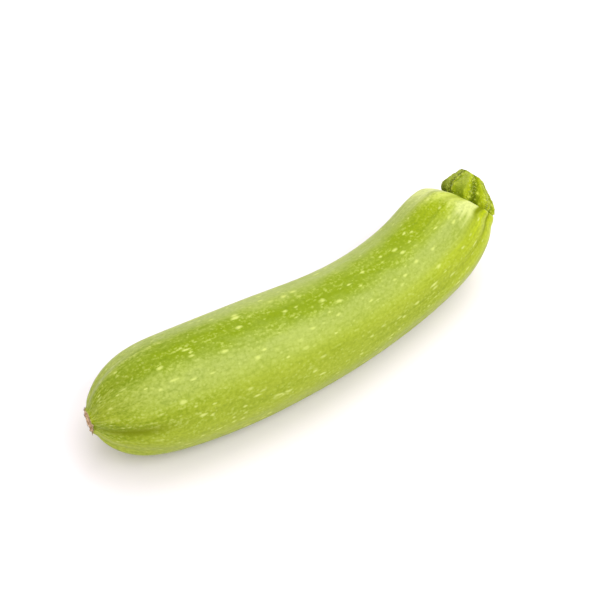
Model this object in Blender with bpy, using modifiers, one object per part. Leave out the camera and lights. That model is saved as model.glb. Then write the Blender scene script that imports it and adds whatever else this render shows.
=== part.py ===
"""One zucchini as picked, lying on its side on a flat surface.

Two pieces: the fruit, with the corky scar of its flower at one end, and the stub of ridged stem that
it was cut with. Units are metres, +Z is up and the surface is z = 0. The stem points along +X, the
blossom end along -X, and the fruit bends towards +Y. Each piece starts as a turned profile on a
straight axis. Formulas then raise its ribs and bend it along the fruit's own centre line.
"""

from math import pi, radians

import bpy
import numpy as np

# Driving dimensions of the fruit, in metres and degrees
FRUIT_LENGTH = 0.1847  # along the bent centre line, blossom tip to stem seat
STATION_RADII = (0.0185, 0.0230, 0.0215, 0.0194, 0.0210)  # of the swelling, at even stations from the blossom
BLOSSOM_CAP = 0.0370  # length over which the blossom end rounds off
BLOSSOM_FULLNESS = 2.97  # 2 is an ellipse, more is blunter
SHOULDER_CAP = 0.0274  # length over which the shoulder rounds down to the seat
SHOULDER_FULLNESS = 2.6
SEAT_RADIUS = 0.0104  # the flat that the stem grows from
SEAT_SHIFT = 0.0034  # how far the seat lies off the centre line, towards the outside of the bend
SEAT_SHIFT_REACH = 0.0050  # from the seat, the length of shoulder that leans over with it

# The bend of the centre line
START_HEADING = -12.5  # degrees from +X at the blossom end
TURN = 34.5  # how far the heading has swung at the stem
TURN_RISE = 1.72  # above 1 the bend gathers towards the stem
STEM_LIFT = 0.0090  # how far the seat rises above where the belly's line would leave it
STEM_LIFT_FROM = 0.66  # share of the length where that rise starts
BLOSSOM_LIFT = 0.0040
BLOSSOM_LIFT_UNTIL = 0.25
RESTING_FLAT = 0.0004  # how much of the underside is flattened by the surface

# The ribs: five broad ones, with five faint ones between, best seen near both ends
RIBS = 5
RIB_ANGLE = 74.0  # degrees round the axis to the first broad rib, from the inside of the bend upwards
BODY_RIB = 0.00016  # height of the faint ribs along the body
SHOULDER_RIB = 0.0008
SHOULDER_RIB_REACH = 0.0130
BLOSSOM_RIB = 0.0005
BLOSSOM_RIB_CENTRE = 0.0100
BLOSSOM_RIB_REACH = 0.0110
UNEVENNESS = 0.00025  # slow waves that keep the skin from being a perfect turned shape
WAVES = ((2, 2.3, 0.7), (3, -3.1, 2.1))  # each wave's count round the skin, twist along it, and start

# The scar of the flower: a corky ring round a shallow dish
SCAR_RING_RADIUS = 0.0046
SCAR_RING_HALF_WIDTH = 0.0010
SCAR_RING_HEIGHT = 0.0008
SCAR_DISH_RADIUS = 0.0036
SCAR_DISH_DEPTH = 0.0007
SCAR_PATCH_RADIUS = 0.0072  # the rings of the mesh are close inside this

# The stem: radius of its side at each height above the seat, from the rounded foot to the cut
STEM_HEIGHT = 0.0114
STEM_GAP = 0.0003  # clear space between the stem's foot and the seat
STEM_FOOT_RADIUS = 0.0100
STEM_FOOT_BULGE = 0.0108
STEM_FOOT_BULGE_HEIGHT = 0.0022
STEM_TOP_RADIUS = 0.0047
STEM_LEAN = 17.0  # degrees towards the inside of the bend
STEM_RIDGE = 0.13  # height of the five ridges as a share of the radius
STEM_MINOR_RIDGE = 0.05
STEM_CUT_TILT = 5.0
STEM_CUT_DISH = 0.0005
STEM_CUT_RINGS = (0.0, 0.4, 0.8)  # as shares of the cut's radius

# Fineness of the meshes
SEGMENTS = 60
BODY_RINGS = 46
SCAR_RINGS = 8
STEM_SIDE_RINGS = 14
SCREW_MERGE = 0.00001
LINE_STEPS = 2000
RUN_ON = 0.02  # how far the centre line goes straight on past each end of the fruit

FRUIT_COLOUR = (0.429, 0.578, 0.080, 1.0)
STEM_COLOUR = (0.155, 0.260, 0.020, 1.0)


def smooth_step(value, low, high):
    """0 below low, 1 above high, and a smooth S between."""
    share = np.clip((value - low) / (high - low), 0.0, 1.0)
    return share * share * (3.0 - 2.0 * share)


def swelling(share):
    """Radius of the body without its rounded ends: the one smooth curve through the station radii."""
    stations = np.linspace(0.0, 1.0, len(STATION_RADII))
    return np.polyval(np.polyfit(stations, STATION_RADII, len(STATION_RADII) - 1), share)


def skin_radius(distance):
    """Radius of the turned fruit at a distance from the blossom tip: the swelling times both end caps."""
    swell = swelling(distance / FRUIT_LENGTH)
    to_blossom = np.clip(1.0 - distance / BLOSSOM_CAP, 0.0, 1.0)
    to_seat = np.clip(1.0 - (FRUIT_LENGTH - distance) / SHOULDER_CAP, 0.0, 1.0)
    blossom = np.sqrt(1.0 - to_blossom**BLOSSOM_FULLNESS)
    seat_share = SEAT_RADIUS / STATION_RADII[-1]
    shoulder = seat_share + (1.0 - seat_share) * np.sqrt(1.0 - to_seat**SHOULDER_FULLNESS)
    return swell * blossom * shoulder


def seat_shift(distance):
    """How far the skin near the seat, and the stem on it, move across the bend: below 0 is outwards."""
    return -SEAT_SHIFT * np.clip(1.0 - (FRUIT_LENGTH - distance) / SEAT_SHIFT_REACH, 0.0, 1.0) ** 2


def scar_depth(radius):
    """How far the scar moves the tip along the axis: a ring that stands proud round a dish that is sunk."""
    ring = SCAR_RING_HEIGHT * np.exp(-(((radius - SCAR_RING_RADIUS) / SCAR_RING_HALF_WIDTH) ** 2))
    dish = SCAR_DISH_DEPTH * np.clip(1.0 - (radius / SCAR_DISH_RADIUS) ** 2, 0.0, 1.0)
    return dish - ring


def fruit_profile():
    """(radius, distance) pairs from the centre of the seat, along the side, to the centre of the scar."""
    fine = np.linspace(0.0, SCAR_PATCH_RADIUS, LINE_STEPS + 1)
    scar_radii = np.linspace(0.0, SCAR_PATCH_RADIUS, SCAR_RINGS)
    scar_distances = np.interp(scar_radii, skin_radius(fine), fine)
    start = np.arccos(1.0 - 2.0 * scar_distances[-1] / FRUIT_LENGTH)
    side = FRUIT_LENGTH * (1.0 - np.cos(np.linspace(start, pi, BODY_RINGS))) / 2.0
    radii = np.concatenate([scar_radii[:-1], skin_radius(side), [SEAT_RADIUS / 2.0, 0.0]])
    distances = np.concatenate(
        [scar_distances[:-1] + scar_depth(scar_radii[:-1]), side, [FRUIT_LENGTH, FRUIT_LENGTH]]
    )
    return list(zip(radii, distances))[::-1]


def stem_side_radius(height):
    """Radius of the stem at a height above the seat: a rounded foot, then a hollow taper to the cut."""
    foot = STEM_FOOT_RADIUS + (STEM_FOOT_BULGE - STEM_FOOT_RADIUS) * np.sin(
        np.clip(height / STEM_FOOT_BULGE_HEIGHT, 0.0, 1.0) * pi / 2.0
    )
    rise = smooth_step(height, STEM_FOOT_BULGE_HEIGHT, STEM_HEIGHT + STEM_FOOT_BULGE_HEIGHT)
    return foot + (STEM_TOP_RADIUS - STEM_FOOT_BULGE) * rise / smooth_step(
        STEM_HEIGHT, STEM_FOOT_BULGE_HEIGHT, STEM_HEIGHT + STEM_FOOT_BULGE_HEIGHT
    )


def stem_profile():
    """(radius, height above the seat) pairs from the middle of the cut, down the side, to the foot's middle."""
    heights = np.linspace(STEM_HEIGHT, STEM_GAP, STEM_SIDE_RINGS)
    cut = [
        (share * STEM_TOP_RADIUS, STEM_HEIGHT - STEM_CUT_DISH * (1.0 - share**2))
        for share in STEM_CUT_RINGS
    ]
    side = list(zip(stem_side_radius(heights), heights))
    return cut + side + [(STEM_FOOT_RADIUS / 2.0, STEM_GAP), (0.0, STEM_GAP)]


def turned_mesh(name, profile):
    """The closed mesh that a Screw modifier makes of a profile, whose first point is the top of the axis."""
    mesh = bpy.data.meshes.new(name)
    points = [(radius, 0.0, along) for radius, along in profile]
    mesh.from_pydata(points, [(i, i + 1) for i in range(len(points) - 1)], [])
    turned = bpy.data.objects.new(name + " profile", mesh)
    bpy.context.scene.collection.objects.link(turned)
    screw = turned.modifiers.new("Turn", "SCREW")
    screw.axis = "Z"
    screw.angle = 2.0 * pi
    screw.steps = SEGMENTS
    screw.render_steps = SEGMENTS
    screw.use_merge_vertices = True
    screw.merge_threshold = SCREW_MERGE
    graph = bpy.context.evaluated_depsgraph_get()
    made = bpy.data.meshes.new_from_object(turned.evaluated_get(graph))
    made.name = name
    bpy.data.objects.remove(turned)
    return made


def points_of(mesh):
    """The mesh's vertices as an array with a row each."""
    points = np.empty(len(mesh.vertices) * 3)
    mesh.vertices.foreach_get("co", points)
    return points.reshape(-1, 3)


def centre_line_height(share):
    """Height of the centre line: the body's own radius, so that it lies on the surface, with both ends lifted."""
    stem = np.clip((share - STEM_LIFT_FROM) / (1.0 - STEM_LIFT_FROM), 0.0, 1.0) ** 3
    blossom = np.clip(1.0 - share / BLOSSOM_LIFT_UNTIL, 0.0, 1.0) ** 2
    return swelling(share) + STEM_LIFT * stem + BLOSSOM_LIFT * blossom - RESTING_FLAT


def centre_line():
    """Distances along the centre line, and at each its point, and its forward, inward and upward directions.

    The line runs straight on past both ends of the fruit, so that the stem and the scar follow it too.
    """
    distance = np.linspace(-RUN_ON, FRUIT_LENGTH + RUN_ON, LINE_STEPS + 1)
    share = np.clip(distance / FRUIT_LENGTH, 0.0, 1.0)
    heading = np.radians(START_HEADING + TURN * share**TURN_RISE)
    fine = np.linspace(0.0, 1.0, LINE_STEPS + 1)
    slope = np.gradient(centre_line_height(fine), fine * FRUIT_LENGTH)
    pitch = np.arcsin(np.interp(share, fine, slope))
    forward = np.stack(
        [np.cos(pitch) * np.cos(heading), np.cos(pitch) * np.sin(heading), np.sin(pitch)], axis=1
    )
    inward = np.stack([-np.sin(heading), np.cos(heading), 0.0 * heading], axis=1)
    upward = np.cross(forward, inward)
    steps = np.diff(distance)[:, None] * (forward[1:] + forward[:-1]) / 2.0
    point = np.concatenate([np.zeros((1, 3)), np.cumsum(steps, axis=0)])
    tip_height = np.interp(0.0, distance, point[:, 2])
    point[:, 2] += centre_line_height(0.0) - tip_height
    return distance, point, forward, inward, upward


def bend(points):
    """Carries points from the straight axis (inward, upward, along) to the bent centre line."""
    distance, *columns = centre_line()
    centre, _, inward, upward = (
        np.stack([np.interp(points[:, 2], distance, column[:, i]) for i in range(3)], axis=1)
        for column in columns
    )
    return centre + points[:, :1] * inward + points[:, 1:2] * upward


def rib_wave(angle, count):
    """1 on each of so many ribs, -1 midway between them."""
    return np.cos(count * (angle - radians(RIB_ANGLE)))


def fruit_relief(angle, distance):
    """Height of the skin over its turned form: the ribs, which fade from both ends, and a slow unevenness."""
    from_seat = FRUIT_LENGTH - distance
    broad = rib_wave(angle, RIBS)
    faint = rib_wave(angle, 2 * RIBS)
    ribs = (broad + faint) / 2.0
    shoulder = SHOULDER_RIB * np.exp(-from_seat / SHOULDER_RIB_REACH) * ribs
    blossom = BLOSSOM_RIB * np.exp(-(((distance - BLOSSOM_RIB_CENTRE) / BLOSSOM_RIB_REACH) ** 2)) * ribs
    turns = 2.0 * pi * distance / FRUIT_LENGTH
    waves = sum(np.sin(count * angle + twist * turns + start) for count, twist, start in WAVES)
    return shoulder + blossom + BODY_RIB * faint + UNEVENNESS * waves / len(WAVES)


def shape_fruit(points):
    """Raises the ribs on the turned fruit, bends it and flattens what the surface presses on."""
    radius = np.hypot(points[:, 0], points[:, 1])
    angle = np.arctan2(points[:, 1], points[:, 0])
    clear_of_scar = smooth_step(radius, SCAR_RING_RADIUS, 2.0 * SCAR_RING_RADIUS)
    raised = radius + fruit_relief(angle, points[:, 2]) * clear_of_scar
    inward = raised * np.cos(angle) + seat_shift(points[:, 2])
    shaped = bend(np.stack([inward, raised * np.sin(angle), points[:, 2]], axis=1))
    shaped[:, 2] = np.maximum(shaped[:, 2], 0.0)
    return shaped


def shape_stem(points):
    """Gives the turned stem its ridges, its lean and its slightly slanted cut, and carries it to the seat."""
    radius = np.hypot(points[:, 0], points[:, 1])
    angle = np.arctan2(points[:, 1], points[:, 0])
    height = points[:, 2]
    ridges = STEM_RIDGE * rib_wave(angle, RIBS) + STEM_MINOR_RIDGE * rib_wave(angle, 2 * RIBS)
    ridged = radius * (1.0 + ridges)
    lean = np.tan(radians(STEM_LEAN)) * height
    slant = np.tan(radians(STEM_CUT_TILT)) * ridged * np.cos(angle) * (height / STEM_HEIGHT) ** 2
    along = FRUIT_LENGTH + height + slant
    inward = ridged * np.cos(angle) + lean + seat_shift(along)
    return bend(np.stack([inward, ridged * np.sin(angle), along], axis=1))


def material(name, colour, roughness):
    made = bpy.data.materials.new(name)
    made.use_nodes = True
    surface = made.node_tree.nodes["Principled BSDF"]
    surface.inputs["Base Color"].default_value = colour
    surface.inputs["Roughness"].default_value = roughness
    surface.inputs["Metallic"].default_value = 0.0
    made.diffuse_color = colour
    return made


def make_piece(name, profile, shape, finish, collection):
    """A turned mesh whose points a formula moves, as an object with its own material."""
    mesh = turned_mesh(name, profile)
    points = shape(points_of(mesh))
    mesh.vertices.foreach_set("co", points.ravel())
    mesh.materials.append(finish)
    mesh.shade_smooth()
    mesh.update()
    piece = bpy.data.objects.new(name, mesh)
    collection.objects.link(piece)
    return piece


def centre_on_origin(pieces):
    """Turns the pieces so that the centre line's ends lie along X, then centres their box on X and Y."""
    distance, point, *_ = centre_line()
    ends = [np.array([np.interp(at, distance, point[:, i]) for i in range(2)]) for at in (0.0, FRUIT_LENGTH)]
    chord = ends[1] - ends[0]
    cosine, sine = chord / np.hypot(*chord)
    turn = np.array([[cosine, -sine, 0.0], [sine, cosine, 0.0], [0.0, 0.0, 1.0]])
    turned = [points_of(piece.data) @ turn for piece in pieces]
    every = np.concatenate(turned)
    middle = (every.min(axis=0) + every.max(axis=0)) / 2.0
    middle[2] = 0.0
    for piece, points in zip(pieces, turned):
        piece.data.vertices.foreach_set("co", (points - middle).ravel())
        piece.data.update()


def main():
    for old in list(bpy.data.objects):
        bpy.data.objects.remove(old)
    collection = bpy.data.collections.new("zucchini")
    bpy.context.scene.collection.children.link(collection)
    skin = material("pale green skin", FRUIT_COLOUR, 0.4)
    stalk = material("dark green stem", STEM_COLOUR, 0.6)
    fruit = make_piece("fruit", fruit_profile(), shape_fruit, skin, collection)
    stem = make_piece("stem", stem_profile(), shape_stem, stalk, collection)
    centre_on_origin([fruit, stem])


main()
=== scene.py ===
# %% [markdown]
# # A pale green zucchini, as picked
#
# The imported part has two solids: the fruit and its stub of stem. They are right in size and place, but
# coarse and plain. This lesson dresses them. Each solid is replaced by a much finer surface worked out from
# the same few formulas, and then gets what a solid can't hold: fine creases, flecked skin, cork and bristles.
# Everything is in metres, +Z is up, the stem points along +X and the fruit rests on z = 0.

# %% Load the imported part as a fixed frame
from itertools import product
from math import pi, radians

import bpy
import numpy as np
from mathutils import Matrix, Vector


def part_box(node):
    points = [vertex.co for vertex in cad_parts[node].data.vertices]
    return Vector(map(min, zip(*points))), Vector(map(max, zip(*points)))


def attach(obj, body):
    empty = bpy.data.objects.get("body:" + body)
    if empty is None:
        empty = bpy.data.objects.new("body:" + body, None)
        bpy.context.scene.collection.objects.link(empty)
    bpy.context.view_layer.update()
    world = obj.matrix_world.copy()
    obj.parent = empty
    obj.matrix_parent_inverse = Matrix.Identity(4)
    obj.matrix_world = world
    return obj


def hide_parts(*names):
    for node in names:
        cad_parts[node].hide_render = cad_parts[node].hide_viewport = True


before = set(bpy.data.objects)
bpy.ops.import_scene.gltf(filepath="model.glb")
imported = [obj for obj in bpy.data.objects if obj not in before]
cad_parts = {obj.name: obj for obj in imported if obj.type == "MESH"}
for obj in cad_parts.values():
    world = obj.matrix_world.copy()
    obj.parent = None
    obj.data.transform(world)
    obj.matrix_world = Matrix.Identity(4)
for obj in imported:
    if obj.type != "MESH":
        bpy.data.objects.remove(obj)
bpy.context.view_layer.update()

MM = 0.001
print("nodes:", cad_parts)

# %% [markdown]
# ## The form that both pieces share
#
# A zucchini is easiest to think of twice. First it is straight: a radius at each distance from the blossom
# tip, with ribs round it. Then the straight form is carried onto a bent centre line, which swings sideways
# and lifts at both ends. Working out the relief on the straight form keeps every formula short, and the
# straight coordinates stay useful later: the skin's pattern is drawn in them, so that it follows the bend.

# %% The driving sizes, the same as those of the solids
FRUIT_LENGTH = 184.7 * MM
STATION_RADII = (18.5 * MM, 23.0 * MM, 21.5 * MM, 19.4 * MM, 21.0 * MM)
BLOSSOM_CAP = 37.0 * MM
BLOSSOM_FULLNESS = 2.97
SHOULDER_CAP = 27.4 * MM
SHOULDER_FULLNESS = 2.6
SEAT_RADIUS = 10.4 * MM
SEAT_SHIFT = 3.4 * MM
SEAT_SHIFT_REACH = 5.0 * MM
START_HEADING = -12.5
TURN = 34.5
TURN_RISE = 1.72
STEM_LIFT = 9.0 * MM
STEM_LIFT_FROM = 0.66
BLOSSOM_LIFT = 4.0 * MM
BLOSSOM_LIFT_UNTIL = 0.25
RESTING_FLAT = 0.4 * MM
LINE_STEPS = 2000
RUN_ON = 20.0 * MM

RIBS = 5
RIB_ANGLE = radians(74.0)
BODY_RIB = 0.16 * MM
SHOULDER_RIB = 0.8 * MM
SHOULDER_RIB_REACH = 13.0 * MM
BLOSSOM_RIB = 0.5 * MM
BLOSSOM_RIB_CENTRE = 10.0 * MM
BLOSSOM_RIB_REACH = 11.0 * MM
UNEVENNESS = 0.25 * MM
WAVES = ((2, 2.3, 0.7), (3, -3.1, 2.1))
print("along the bend and across, mm:", FRUIT_LENGTH / MM, round(2.0 * max(STATION_RADII) / MM, 1))

# %% The straight form


def smooth_step(value, low, high):
    """0 below low, 1 above high, and between them three squares of the share less two cubes: a smooth S."""
    share = np.clip((value - low) / (high - low), 0.0, 1.0)
    return share * share * (3.0 - 2.0 * share)


def bump(value, centre, half_width):
    """A bell: e to minus the square of the way from the centre, counted in half widths."""
    return np.exp(-(((value - centre) / half_width) ** 2))


def swelling(share):
    """Radius of the body without its ends: the polynomial that runs through all the station radii."""
    stations = np.linspace(0.0, 1.0, len(STATION_RADII))
    return np.polyval(np.polyfit(stations, STATION_RADII, len(STATION_RADII) - 1), share)


def skin_radius(distance):
    """The swelling times a rounded cap at each end. A cap is a superellipse: root of 1 minus a power."""
    to_blossom = np.clip(1.0 - distance / BLOSSOM_CAP, 0.0, 1.0)
    to_seat = np.clip(1.0 - (FRUIT_LENGTH - distance) / SHOULDER_CAP, 0.0, 1.0)
    seat_share = SEAT_RADIUS / STATION_RADII[-1]
    shoulder = seat_share + (1.0 - seat_share) * np.sqrt(1.0 - to_seat**SHOULDER_FULLNESS)
    return swelling(distance / FRUIT_LENGTH) * np.sqrt(1.0 - to_blossom**BLOSSOM_FULLNESS) * shoulder


def seat_shift(distance):
    """How far the seat and its stem lean to the outside of the bend: the square of the way to the seat."""
    return -SEAT_SHIFT * np.clip(1.0 - (FRUIT_LENGTH - distance) / SEAT_SHIFT_REACH, 0.0, 1.0) ** 2


def rib_wave(angle, count):
    """1 on each of so many ribs, -1 midway between them."""
    return np.cos(count * (angle - RIB_ANGLE))


def broad_relief(angle, distance):
    """The relief of the solid: ribs that fade from both ends, and slow waves that spoil the perfect round."""
    ribs = (rib_wave(angle, RIBS) + rib_wave(angle, 2 * RIBS)) / 2.0
    shoulder = SHOULDER_RIB * np.exp(-(FRUIT_LENGTH - distance) / SHOULDER_RIB_REACH) * ribs
    blossom = BLOSSOM_RIB * bump(distance, BLOSSOM_RIB_CENTRE, BLOSSOM_RIB_REACH) * ribs
    turns = 2.0 * pi * distance / FRUIT_LENGTH
    waves = sum(np.sin(count * angle + twist * turns + start) for count, twist, start in WAVES)
    return shoulder + blossom + BODY_RIB * rib_wave(angle, 2 * RIBS) + UNEVENNESS * waves / len(WAVES)


print("radius at mid-length, mm:", round(float(skin_radius(FRUIT_LENGTH / 2.0)) / MM, 2))

# %% The bent centre line


def around_axis(radius, angle, along):
    """Points at a radius and an angle: radius times cosine, radius times sine, and the place along."""
    return np.stack(np.broadcast_arrays(radius * np.cos(angle), radius * np.sin(angle), along), axis=-1)


def centre_line_height(share):
    """The body's own radius, so that the belly lies on the surface, plus a lift towards each end.

    The lift grows as the cube of the way to the stem and as the square of the way to the blossom tip.
    """
    stem = np.clip((share - STEM_LIFT_FROM) / (1.0 - STEM_LIFT_FROM), 0.0, 1.0) ** 3
    blossom = np.clip(1.0 - share / BLOSSOM_LIFT_UNTIL, 0.0, 1.0) ** 2
    return swelling(share) + STEM_LIFT * stem + BLOSSOM_LIFT * blossom - RESTING_FLAT


def centre_line():
    """Distance, point, and forward, inward and upward directions at each step of the line.

    The heading swings as a power of the distance and the slope follows the height. The point is the running
    sum of the forward steps. Inward is level and across the heading, and upward is square to both.
    """
    distance = np.linspace(-RUN_ON, FRUIT_LENGTH + RUN_ON, LINE_STEPS + 1)
    share = np.clip(distance / FRUIT_LENGTH, 0.0, 1.0)
    heading = np.radians(START_HEADING + TURN * share**TURN_RISE)
    fine = np.linspace(0.0, 1.0, LINE_STEPS + 1)
    slope = np.gradient(centre_line_height(fine), fine * FRUIT_LENGTH)
    pitch = np.arcsin(np.interp(share, fine, slope))
    forward = around_axis(np.cos(pitch), heading, np.sin(pitch))
    inward = around_axis(1.0, heading + pi / 2.0, 0.0)
    steps = np.diff(distance)[:, None] * (forward[1:] + forward[:-1]) / 2.0
    point = np.concatenate([np.zeros((1, 3)), np.cumsum(steps, axis=0)])
    point[:, 2] += centre_line_height(0.0) - np.interp(0.0, distance, point[:, 2])
    return distance, point, forward, inward, np.cross(forward, inward)


def level_turn():
    """The turn about Z that lays the line from the blossom tip to the seat along +X."""
    distance, point, *_ = centre_line()
    ends = [np.array([np.interp(at, distance, point[:, i]) for i in (0, 1)]) for at in (0.0, FRUIT_LENGTH)]
    cosine, sine = (ends[1] - ends[0]) / np.hypot(*(ends[1] - ends[0]))
    return np.array([[cosine, -sine, 0.0], [sine, cosine, 0.0], [0.0, 0.0, 1.0]])


def bend(straight):
    """Carries straight points (inward, upward, along) to the bent line: centre + x inward + y upward."""
    distance, *columns = centre_line()
    flat = straight.reshape(-1, 3)
    centre, _, inward, upward = (
        np.stack([np.interp(flat[:, 2], distance, column[:, i]) for i in range(3)], axis=1)
        for column in columns
    )
    bent = (centre + flat[:, :1] * inward + flat[:, 1:2] * upward) @ level_turn()
    return bent.reshape(straight.shape)


print("heading at the stem:", START_HEADING + TURN, "degrees")

# %% [markdown]
# ## Two helpers: a closed surface from rings, and natural roughness
#
# Every new piece here is rings of points, one ring after another, closed by a point at each end. The rings
# come from formulas as whole arrays, so a finer mesh costs one changed number. Nature is never quite even,
# so a second helper gives smooth random relief: random numbers on a cubic lattice, blended in between. A
# seed makes it the same on every run.

# %% A mesh from rings


def ring_faces(rows, around):
    """Quads between neighbouring rings, and a fan of triangles from each end ring to its tip.

    The points are counted ring by ring, then the first and the last tip. The faces point outwards where each
    ring turns from inward to upward and the rings follow one another along the axis.
    """
    index = np.arange(rows * around).reshape(rows, around)
    after = np.roll(index, -1, axis=1)
    quads = np.stack([index[:-1], after[:-1], after[1:], index[1:]], axis=-1).reshape(-1, 4)
    tip = np.full(around, rows * around)
    start_fan = np.stack([tip, after[0], index[0]], axis=-1)
    end_fan = np.stack([tip + 1, index[-1], after[-1]], axis=-1)
    return quads, np.concatenate([start_fan, end_fan])


def new_mesh(name, points, *faces, smooth=True):
    """A mesh of points, and of arrays that name the points of each face."""
    mesh = bpy.data.meshes.new(name)
    corners = [corner for group in faces for corner in group.reshape(-1, group.shape[-1]).tolist()]
    mesh.from_pydata(points.reshape(-1, 3).tolist(), [], corners, shade_flat=not smooth)
    return mesh


def ring_mesh(name, rings, *tips):
    """A closed mesh of rings with a point at each end."""
    return new_mesh(name, np.concatenate([rings.reshape(-1, 3), tips]), *ring_faces(*rings.shape[:2]))


print("quads and triangles of three rings of four:", [len(faces) for faces in ring_faces(3, 4)])

# %% Attributes of a mesh, and pieces of the part


def write_attributes(mesh, table):
    """Keeps numbers or vectors for a ring mesh's vertices, under names that a material can read.

    A row of the table holds the values on the rings, then those at the first and at the last tip.
    """
    for name, (rings, *tips) in table.items():
        vector = rings.ndim == 3
        values = np.concatenate([rings.ravel(), np.ravel(tips)])
        layer = mesh.attributes.new(name, "FLOAT_VECTOR" if vector else "FLOAT", "POINT")
        layer.data.foreach_set("vector" if vector else "value", values.astype("f"))


def add_object(data):
    """Shows a mesh, a light or a camera in the scene, under its own name."""
    made = bpy.data.objects.new(data.name, data)
    bpy.context.scene.collection.objects.link(made)
    return made


def add_piece(mesh, material, replaced):
    """Shows a mesh as a piece that rides on the part, in place of the named solid."""
    piece = add_object(mesh)
    mesh.materials.append(material)
    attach(piece, "root")
    if replaced:
        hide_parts(replaced)
    triangles = sum(len(face.vertices) - 2 for face in mesh.polygons)
    print(f"{mesh.name}: {len(mesh.vertices)} points, {triangles} triangles")


# %% Smooth random relief
LATTICE = 64


def lumps(points, size, seed):
    """Random relief from -1 to 1: lattice values a size apart, blended by an S curve along each axis."""
    table = np.random.default_rng(seed).uniform(-1.0, 1.0, (LATTICE, LATTICE, LATTICE))
    where = points / size
    corner = np.floor(where).astype(int)
    share = smooth_step(where - corner, 0.0, 1.0)
    total = 0.0
    for step in product((0, 1), repeat=3):
        weight = np.prod(np.where(step, share, 1.0 - share), axis=-1)
        x, y, z = np.moveaxis((corner + step) % LATTICE, -1, 0)
        total = total + weight * table[x, y, z]
    return total


print("relief at three places:", np.round(lumps(np.eye(3), 0.7, seed=1), 2))

# %% [markdown]
# ## The skin of the fruit
#
# A zucchini's skin is one smooth waxy sheet. What breaks it up is long and shallow: five ribs, a stripe of
# darker skin beside each rib that sinks into a crease at both ends, and dents a thumb wide. A bump map could
# fake these, but a crease at the shoulder is cut by the outline, so they are moved points here. The rings
# are crowded near the scar and the shoulder, where the form turns quickly.

# %% Creases of the skin
STRIPE_OFFSET = radians(16.0)
SHOULDER_CREASES = ((radians(-9.0), 6.0 * MM, 1.8), (radians(17.5), 15.0 * MM, 1.0))
SHOULDER_CREASE_DEPTH = 0.36 * MM
SHOULDER_CREASE_HALF_WIDTH = radians(4.6)
BLOSSOM_CREASE_DEPTH = 0.52 * MM
BLOSSOM_CREASE_HALF_WIDTH = radians(6.5)
BLOSSOM_CREASE_CENTRE = 13.0 * MM
BLOSSOM_CREASE_REACH = 12.0 * MM
DEEPEST_RIB = 1


def from_rib(angle):
    """The angle from the nearest broad rib, found by rounding, and that rib's number."""
    spacing = 2.0 * pi / RIBS
    number = np.round((angle - RIB_ANGLE) / spacing)
    return angle - RIB_ANGLE - number * spacing, number.astype(int) % RIBS


def crease_strength(angle, offset):
    """1 at the deepest rib's crease and 1 over 1 plus the steps to it at others. The offset picks the rib."""
    _, number = from_rib(angle - offset)
    steps = np.minimum((number - DEEPEST_RIB) % RIBS, (DEEPEST_RIB - number) % RIBS)
    return 1.0 / (1.0 + steps)


def crease(angle, offset, half_width):
    """A bell across each rib's crease, weaker away from the deepest rib."""
    across, _ = from_rib(angle - offset)
    return bump(across, 0.0, half_width) * crease_strength(angle, offset)


def creases(angle, distance):
    """How much each point lies in a crease, from 0 up, at the shoulder and at the blossom end.

    A shoulder crease falls off from the seat over its own reach. A blossom crease is a bell along the fruit,
    and the strength of its rib counts twice.
    """
    to_seat = FRUIT_LENGTH - distance
    shoulder = sum(
        strength * np.exp(-to_seat / reach) * crease(angle, offset, SHOULDER_CREASE_HALF_WIDTH)
        for offset, reach, strength in SHOULDER_CREASES
    )
    along = bump(distance, BLOSSOM_CREASE_CENTRE, BLOSSOM_CREASE_REACH)
    blossom = along * crease(angle, STRIPE_OFFSET, BLOSSOM_CREASE_HALF_WIDTH)
    return shoulder, blossom * crease_strength(angle, STRIPE_OFFSET)


print("creases, mm deep:", SHOULDER_CREASE_DEPTH / MM, BLOSSOM_CREASE_DEPTH / MM)

# %% Creases, dents and grain together
DENT_HEIGHT = 0.10 * MM
DENT_SIZE = 11.0 * MM
DENT_STRETCH = 3.0
GRAIN_HEIGHT = 0.02 * MM
GRAIN_SIZE = 2.4 * MM


def fine_relief(angle, distance, straight):
    """Creases cut in, dents drawn out along the fruit, and a fine grain that keeps the gloss alive."""
    shoulder, blossom = creases(angle, distance)
    dents = lumps(straight / (1.0, 1.0, DENT_STRETCH), DENT_SIZE, seed=3)
    grain = lumps(straight, GRAIN_SIZE, seed=4)
    cut = SHOULDER_CREASE_DEPTH * shoulder + BLOSSOM_CREASE_DEPTH * blossom
    return DENT_HEIGHT * dents + GRAIN_HEIGHT * grain - cut


print("dents and grain, mm high:", DENT_HEIGHT / MM, GRAIN_HEIGHT / MM)

# %% The scar's ring and dish, and where the skin's rings lie
SCAR_RING_RADIUS = 4.6 * MM
SCAR_RING_HALF_WIDTH = 1.0 * MM
SCAR_RING_HEIGHT = 0.8 * MM
SCAR_DISH_RADIUS = 3.6 * MM
SCAR_DISH_DEPTH = 0.7 * MM
SCAR_PATCH_RADIUS = 7.2 * MM
SCAR_RINGS = 26
SKIN_RINGS = 300
SUNK_UNDER_CORK = 0.6 * MM
UNDER_CORK_EDGE = (3.7 * MM, 4.5 * MM)


def scar_depth(radius):
    """How far the scar moves the tip inwards: a sunk dish less the bell of a raised ring."""
    ring = SCAR_RING_HEIGHT * bump(radius, SCAR_RING_RADIUS, SCAR_RING_HALF_WIDTH)
    dish = SCAR_DISH_DEPTH * np.clip(1.0 - (radius / SCAR_DISH_RADIUS) ** 2, 0.0, 1.0)
    return dish - ring


def tip_distance(radius):
    """Distance along the axis at which the rounded tip reaches a radius: its profile read backwards."""
    fine = np.linspace(0.0, SCAR_PATCH_RADIUS, LINE_STEPS + 1)
    return np.interp(radius, skin_radius(fine), fine)


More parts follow.
